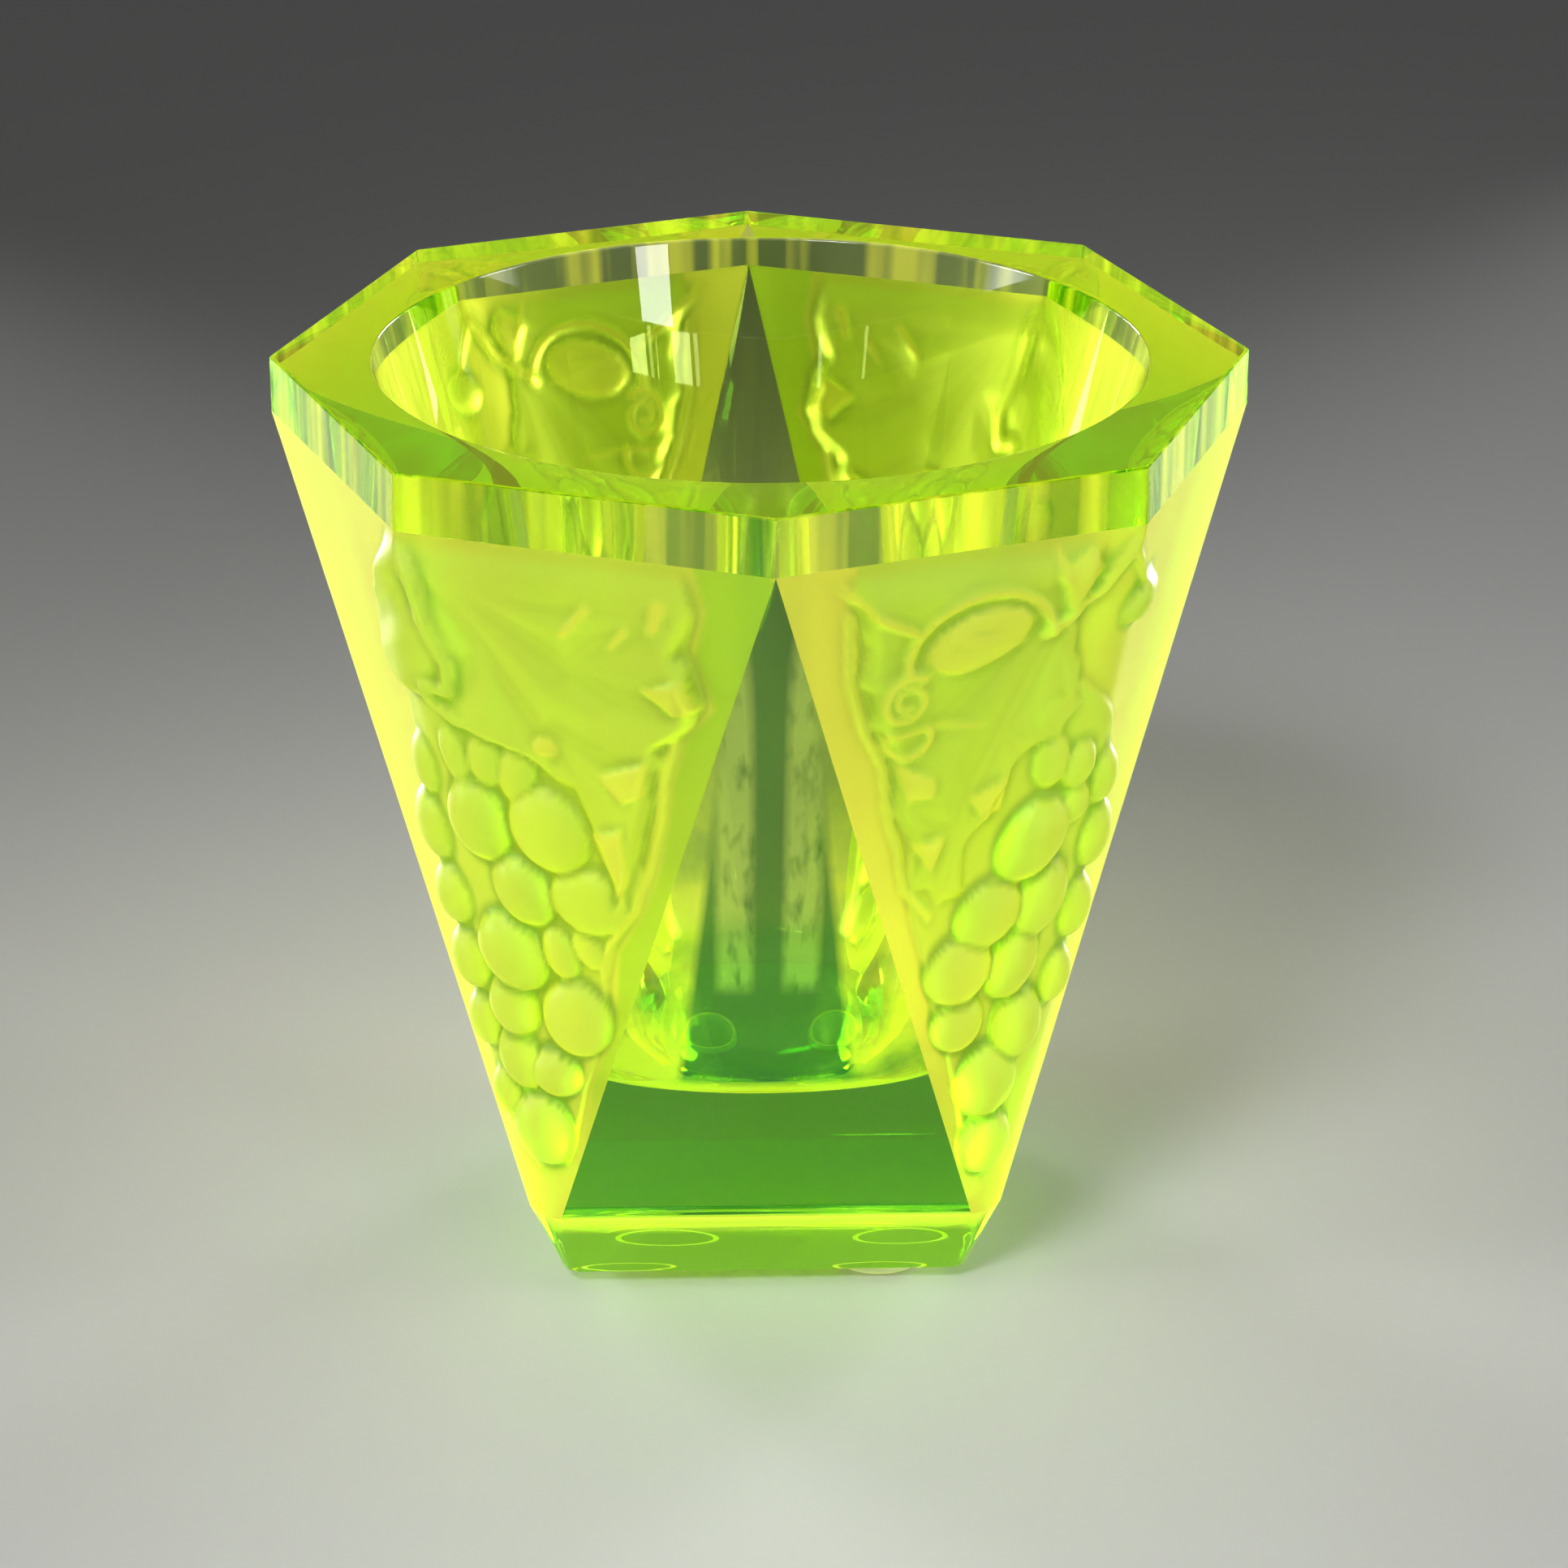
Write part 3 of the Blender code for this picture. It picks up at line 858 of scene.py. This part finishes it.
def glass_places(tree):
    """Sockets that say where a point of the glass lies, in metres in the piece's own coordinates.

    point is the whole place, upright the same with Z squeezed, level its height, reach its distance from the
    axis, aside its distance from the nearer plane through the middle of two facets, and inner_side is 1 where
    the surface is seen from inside the glass. cloud is a soft noise.
    """
    point = tree.nodes.new("ShaderNodeTexCoord").outputs["Object"]
    split = tree.nodes.new("ShaderNodeSeparateXYZ")
    tree.links.new(point, split.inputs["Vector"])
    across, along = (absolute_node(tree, split.outputs[name]) for name in "XY")
    return SimpleNamespace(
        point=point,
        upright=scaled_node(tree, point, (1.0, 1.0, STREAK_STRETCH)),
        level=split.outputs["Z"],
        reach=length_node(tree, scaled_node(tree, point, (1.0, 1.0, 0.0))),
        aside=math_node(tree, "MINIMUM", across, along),
        inner_side=tree.nodes.new("ShaderNodeNewGeometry").outputs["Backfacing"],
        cloud=noise_node(tree, point, CLOUD_SCALE, 3.0),
    )


def well_masks(tree, at):
    """Masks on the well's wall as it is seen from inside the glass, for its painted shade and light: column,
    painted reflection, wedge and lip.
    """
    foot_r, foot_z = well_rings()[WALL_FOOT_RING]
    slope = tan(WALL_TILT)
    wall_start = (foot_r + WELL_GAP - (foot_z + BASE_Z) * slope) * MM
    wall = math_node(tree, "ADD", math_node(tree, "MULTIPLY", at.level, slope), wall_start)
    on_wall = product(
        tree, math_node(tree, "LESS_THAN", at.reach, wall), at.inner_side,
        math_node(tree, "GREATER_THAN", at.level, (FLOOR_Z + BASE_Z) * MM),
    )
    half = math_node(tree, "SUBTRACT", COLUMN_HALF_M, math_node(tree, "MULTIPLY", at.level, COLUMN_TAPER))
    beyond = math_node(tree, "SUBTRACT", at.aside, half)
    column = product(tree, ramp_node(tree, beyond, COLUMN_SOFT_M, 0.0), on_wall)
    painted_reflection = product(
        tree, ramp_node(tree, at.aside, *REFLECTION_INNER_M), ramp_node(tree, at.aside, *REFLECTION_OUTER_M),
        ramp_node(tree, at.level, REFLECTION_LOW_M, REFLECTION_LOW_M + REFLECTION_LOW_SOFT_M),
        ramp_node(tree, noise_node(tree, at.upright, REFLECTION_SCALE, 2.0), *REFLECTION_RANGE),
    )
    wedge = product(
        tree, math_node(tree, "SUBTRACT", on_wall, column), ramp_node(tree, at.level, *WEDGE_FADE_M),
        ramp_node(tree, at.cloud, *WEDGE_RANGE),
    )
    lip_low = (FLOOR_Z + BASE_Z + CORNER_R * LIP_RISE) * MM
    lip = product(tree, on_wall, ramp_node(tree, at.level, lip_low + LIP_FADE_M[0], lip_low + LIP_FADE_M[1]))
    return column, painted_reflection, wedge, lip


def glass_tint_and_painted_shade(tree, at, satin, column, painted_reflection):
    """Colour of the surface: the glass's tint, with painted shade in the grooves, across the panels, in the well's
    column and under the well, and painted reflections in the column.
    """
    ground = mix_colour(tree, attribute(tree, "relief"), SATIN_GROUND, SATIN_RELIEF)
    ground = mix_colour(tree, attribute(tree, "painted_shade"), ground, SATIN_PAINTED_SHADE)
    frosted = mix_colour(tree, attribute(tree, "groove_shade"), ground, SATIN_GROOVE_SHADE)
    clear = mix_colour(tree, column, CLEAR_TINT, mix_colour(tree, painted_reflection, COLUMN_SHADE, REFLECTION_TINT))
    under = ramp_node(tree, at.level, (FLOOR_Z + BASE_Z) * MM, (FLOOR_Z + BASE_Z - UNDERSIDE_FADE) * MM)
    clear = mix_colour(tree, product(tree, under, at.inner_side), clear, UNDERSIDE_SHADE)
    return mix_colour(tree, satin, clear, frosted)


def polished_glow(tree, at, column, painted_reflection, wedge, lip):
    """Painted light that the polished surface gives off: a glow on the foot, the well's wall, the band and the
    rim, and a highlight along the foot's edge.
    """
    foot_top = (FOOT_TOP + BASE_Z) * MM
    # Painted glow on the foot, stronger on its outside bevel.
    foot = mix_colour(tree, at.inner_side, BEVEL_GLOW, FOOT_GLOW)
    glow = mix_colour(tree, math_node(tree, "LESS_THAN", at.level, foot_top), POLISHED_GLOW, foot)
    # Painted light on the wedges, a painted highlight on the lip and painted reflections in the column.
    glow = mix_colour(tree, wedge, glow, WEDGE_GLOW)
    glow = mix_colour(tree, lip, glow, LIP_GLOW)
    glow = mix_colour(tree, product(tree, painted_reflection, column), glow, REFLECTION_GLOW)

    # Painted light in streaks on the outside of the band.
    streak = ramp_node(tree, noise_node(tree, at.upright, STREAK_SCALE, 2.0), *STREAK_RANGE)
    band = mix_colour(tree, streak, POLISHED_GLOW, BAND_GLOW)
    on_band = product(
        tree, math_node(tree, "GREATER_THAN", at.level, (BAND_LOW + BASE_Z) * MM),
        math_node(tree, "GREATER_THAN", at.reach, BAND_INNER_M),
    )
    glow = mix_colour(tree, on_band, glow, band)
    # Painted glow on the rim top.
    rim = math_node(tree, "GREATER_THAN", at.level, (HEIGHT + BASE_Z - RIM_DEPTH) * MM)
    glow = mix_colour(tree, rim, glow, RIM_GLOW)

    # Painted highlight: a bright line along the foot's upper edge, seen from outside.
    above = math_node(tree, "DIVIDE", math_node(tree, "SUBTRACT", at.level, foot_top), FOOT_EDGE_ABOVE_M)
    below = math_node(tree, "DIVIDE", math_node(tree, "SUBTRACT", foot_top, at.level), FOOT_EDGE_BELOW_M)
    edge = math_node(tree, "SUBTRACT", math_node(tree, "SUBTRACT", 1.0, above), below)
    edge = math_node(tree, "SUBTRACT", edge, at.inner_side)
    return mix_colour(tree, edge, glow, FOOT_EDGE_GLOW)


def satin_glow(tree, at):
    """Painted light that the satin surface gives off: a glow, stronger low down and dimmer in the grooves."""
    climb = ramp_node(tree, at.level, GLOW_LOW_M, GLOW_HIGH_M)
    painted_satin_glow = mix_colour(tree, climb, SATIN_GLOW_LOW, SATIN_GLOW_HIGH)
    return mix_colour(tree, attribute(tree, "groove_shade"), painted_satin_glow, GROOVE_SHADE_GLOW)


def uranium_glass():
    """One glass with three finishes: hand-polished, acid-satin and the film of adhesive over the pads.

    It is one material, since the absorption only works if every face of the body has the same one.
    """
    material, tree, shader, output = new_material("uranium_glass")
    at = glass_places(tree)
    finish = attribute(tree, "finish")
    satin = math_node(tree, "ADD", finish, 0.0)
    glued = math_node(tree, "SUBTRACT", finish, 1.0)
    column, painted_reflection, wedge, lip = well_masks(tree, at)
    tree.links.new(glass_tint_and_painted_shade(tree, at, satin, column, painted_reflection), shader.inputs["Base Color"])
    # Painted light: the glow of each finish, the film of adhesive over the pads included.
    glow = mix_colour(tree, satin, polished_glow(tree, at, column, painted_reflection, wedge, lip), satin_glow(tree, at))
    tree.links.new(mix_colour(tree, glued, glow, GLUE_GLOW), shader.inputs["Emission Color"])
    shader.inputs["Emission Strength"].default_value = 1.0

    rough = product(tree, satin, ramp_node(tree, at.cloud, 0.0, 1.0, *SATIN_ROUGHNESS))
    tree.links.new(math_node(tree, "ADD", rough, POLISHED_ROUGHNESS), shader.inputs["Roughness"])
    opaque = product(tree, satin, SATIN_DIFFUSE)
    # The socket keeps this value under its link, since the exporter reads it.
    shader.inputs["Transmission Weight"].default_value = 1.0
    tree.links.new(math_node(tree, "SUBTRACT", 1.0, opaque), shader.inputs["Transmission Weight"])
    shader.inputs["IOR"].default_value = GLASS_IOR

    wave = noise_node(tree, at.point, WAVE_SCALE, 1.0)
    grain = noise_node(tree, at.point, GRAIN_SCALE, 2.0)
    height = math_node(
        tree, "ADD", product(tree, wave, WAVE_RISE), product(tree, grain, satin, GRAIN_RISE)
    )
    bump = tree.nodes.new("ShaderNodeBump")
    bump.inputs["Strength"].default_value = 1.0
    bump.inputs["Distance"].default_value = BUMP_M
    tree.links.new(height, bump.inputs["Height"])
    tree.links.new(bump.outputs["Normal"], shader.inputs["Normal"])

    absorb = tree.nodes.new("ShaderNodeVolumeAbsorption")
    absorb.inputs["Color"].default_value = ABSORB_COLOUR
    absorb.inputs["Density"].default_value = ABSORB_DENSITY
    tree.links.new(absorb.outputs["Volume"], output.inputs["Volume"])
    return material


def pad_material():
    """Clear soft polyurethane, with a yellow tint and a painted glow for the glass's light falling on it."""
    material, tree, shader, _ = new_material("clear_bumper")
    shader.inputs["Base Color"].default_value = PAD_COLOUR
    shader.inputs["IOR"].default_value = PAD_IOR
    shader.inputs["Transmission Weight"].default_value = PAD_TRANSMISSION
    shader.inputs["Emission Color"].default_value = PAD_GLOW
    shader.inputs["Emission Strength"].default_value = PAD_GLOW_STRENGTH
    place = tree.nodes.new("ShaderNodeTexCoord").outputs["Object"]
    cloud = noise_node(tree, place, PAD_NOISE_SCALE, 2.0)
    tree.links.new(ramp_node(tree, cloud, 0.0, 1.0, *PAD_ROUGHNESS), shader.inputs["Roughness"])
    return material


def floor_material():
    """Plain pale matte surface."""
    material, tree, shader, _ = new_material("pale_floor")
    shader.inputs["Roughness"].default_value = FLOOR_ROUGHNESS
    place = tree.nodes.new("ShaderNodeTexCoord").outputs["Object"]
    cloud = noise_node(tree, place, FLOOR_NOISE_SCALE, 2.0)
    tree.links.new(mix_colour(tree, cloud, *FLOOR_COLOURS), shader.inputs["Base Color"])
    return material


# ---------------------------------------------------------------- pieces

def make_glass():
    """The vase, with its relief."""
    mesh = welded("glass_vase", *glass_mesh())
    mesh.materials.append(uranium_glass())
    glass = bpy.data.objects.new("glass_vase", mesh)
    bpy.context.scene.collection.objects.link(glass)
    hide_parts("glass_body")
    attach(glass, "root")


def pad_profile():
    """Radius and height along half a section of a pad, from its top to its underside."""
    top = BASE_Z - PAD_GAP
    profile = [
        (0.0, top), (FILM_RADIUS - FILM_SLOPE, top),
        (FILM_RADIUS, top - PAD_FILM), (PAD_RADIUS, top - PAD_FILM),
    ]
    for step in range(PAD_CURVE_STEPS + 1):
        turn = pi / 2 * step / PAD_CURVE_STEPS
        profile.append((
            PAD_CONTACT + (PAD_RADIUS - PAD_CONTACT) * cos(turn), PAD_EDGE * (1.0 - sin(turn))
        ))
    return profile + [(0.0, 0.0)]


def make_pads():
    """The four bumper pads, each a profile turned round its axis."""
    clear = pad_material()
    profile = [(r * MM, 0.0, z * MM) for r, z in pad_profile()]
    edges = [(index, index + 1) for index in range(len(profile) - 1)]
    for name, pad_x, pad_y in pad_places():
        mesh = bpy.data.meshes.new(name + "_pad")
        mesh.from_pydata(profile, edges, [])
        pad = bpy.data.objects.new(name + "_pad", mesh)
        bpy.context.scene.collection.objects.link(pad)
        pad.location = (pad_x * MM, pad_y * MM, 0.0)
        screw = pad.modifiers.new("turn", "SCREW")
        screw.steps = screw.render_steps = PAD_TURN_STEPS
        screw.use_merge_vertices = True
        screw.merge_threshold = PAD_MERGE_M
        screw.use_smooth_shade = True
        mesh.materials.append(clear)
        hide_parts(name)
        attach(pad, "root")


# ---------------------------------------------------------------- stage

STAGE_REACH_M = 3.0
WORLD_STRENGTH = 0.09
GLASS_MIDDLE = (0.0, 0.0, 0.045)
BACK_TARGET = (0.0, 0.0, 0.055)

# Name, place, target and size in metres, power in watts, and spread in degrees.
LAMPS = (
    ("key", (-0.22, -0.50, 0.54), (0.0, -0.03, 0.04), (0.24, 0.24), 0.12, 26),
    ("softbox_top", (0.0, -0.42, 0.80), (0.0, -0.35, 0.0), (0.30, 0.30), 0.80, 34),
    ("softbox_left", (-0.56, -0.07, 0.16), GLASS_MIDDLE, (0.22, 0.24), 0.085, 26),
    ("softbox_right", (0.56, -0.05, 0.16), GLASS_MIDDLE, (0.18, 0.24), 0.045, 26),
    ("kicker_left", (-0.31, 0.42, 0.06), BACK_TARGET, (0.18, 0.10), 0.19, 26),
    ("kicker_right", (0.31, 0.42, 0.06), BACK_TARGET, (0.18, 0.10), 0.16, 26),
    ("strip_left", (-0.33, -0.68, 0.11), GLASS_MIDDLE, (0.03, 0.07), 0.05, 180),
    ("strip_right", (0.31, -0.70, 0.11), GLASS_MIDDLE, (0.03, 0.07), 0.05, 180),
    ("window", (0.47, -0.75, 0.215), GLASS_MIDDLE, (0.16, 0.24), 1.6, 180),
)

# Camera: lens and sensor in millimetres, angles in degrees, and what it looks at, as a distance ahead of it, a
# shift along X and a height above the underside of the glass.
LENS, SENSOR = 121.56, 36.0
TILT, TURN, ROLL = 22.848, 1.945, -0.16
DISTANCE, ASIDE, AIM_UP = 530.96, 2.39, 44.40
CLIP_START_M = 0.01


def make_stage():
    """The floor."""
    mesh = bpy.data.meshes.new("floor")
    reach = STAGE_REACH_M
    corners = [(-reach, -reach, 0), (reach, -reach, 0), (reach, reach, 0), (-reach, reach, 0)]
    mesh.from_pydata(corners, [], [(0, 1, 2, 3)])
    floor = bpy.data.objects.new("floor", mesh)
    bpy.context.scene.collection.objects.link(floor)
    mesh.materials.append(floor_material())


def area_light(name, place, target, size, power, spread):
    """A soft rectangular lamp that faces its target."""
    light = bpy.data.lights.new(name, "AREA")
    light.shape = "RECTANGLE"
    light.size, light.size_y = size
    light.energy = power
    light.spread = radians(spread)
    lamp = bpy.data.objects.new(name, light)
    bpy.context.scene.collection.objects.link(lamp)
    lamp.location = place
    lamp.rotation_euler = (Vector(target) - Vector(place)).to_track_quat("-Z", "Y").to_euler()


def make_lights():
    """The lamps and an even dim world."""
    world = bpy.data.worlds.new("studio")
    bpy.context.scene.world = world
    world.use_nodes = True
    background = world.node_tree.nodes["Background"]
    background.inputs["Color"].default_value = (1.0, 1.0, 1.0, 1.0)
    background.inputs["Strength"].default_value = WORLD_STRENGTH
    for lamp in LAMPS:
        area_light(*lamp)


def make_camera():
    """The camera, at the photograph's viewing angle."""
    camera = bpy.data.cameras.new("camera")
    camera.lens = LENS
    camera.sensor_width = SENSOR
    tilt = radians(TILT)
    forward = Vector((0.0, cos(tilt), -sin(tilt)))
    right = Vector((1.0, 0.0, 0.0))
    up = right.cross(forward)
    eye = Vector((ASIDE, 0.0, AIM_UP + BASE_Z)) - forward * DISTANCE
    unturn = Matrix.Rotation(-radians(TURN), 3, "Z")
    axes = Matrix((right, up, -forward)).transposed()
    pose = (unturn @ axes @ Matrix.Rotation(-radians(ROLL), 3, "Z")).to_4x4()
    pose.translation = unturn @ (eye * MM)
    seen = bpy.data.objects.new("camera", camera)
    bpy.context.scene.collection.objects.link(seen)
    seen.matrix_world = pose
    camera.clip_start = CLIP_START_M
    bpy.context.scene.camera = seen


make_glass()
make_pads()
make_stage()
make_lights()
make_camera()
bpy.context.scene.view_settings.view_transform = "Standard"
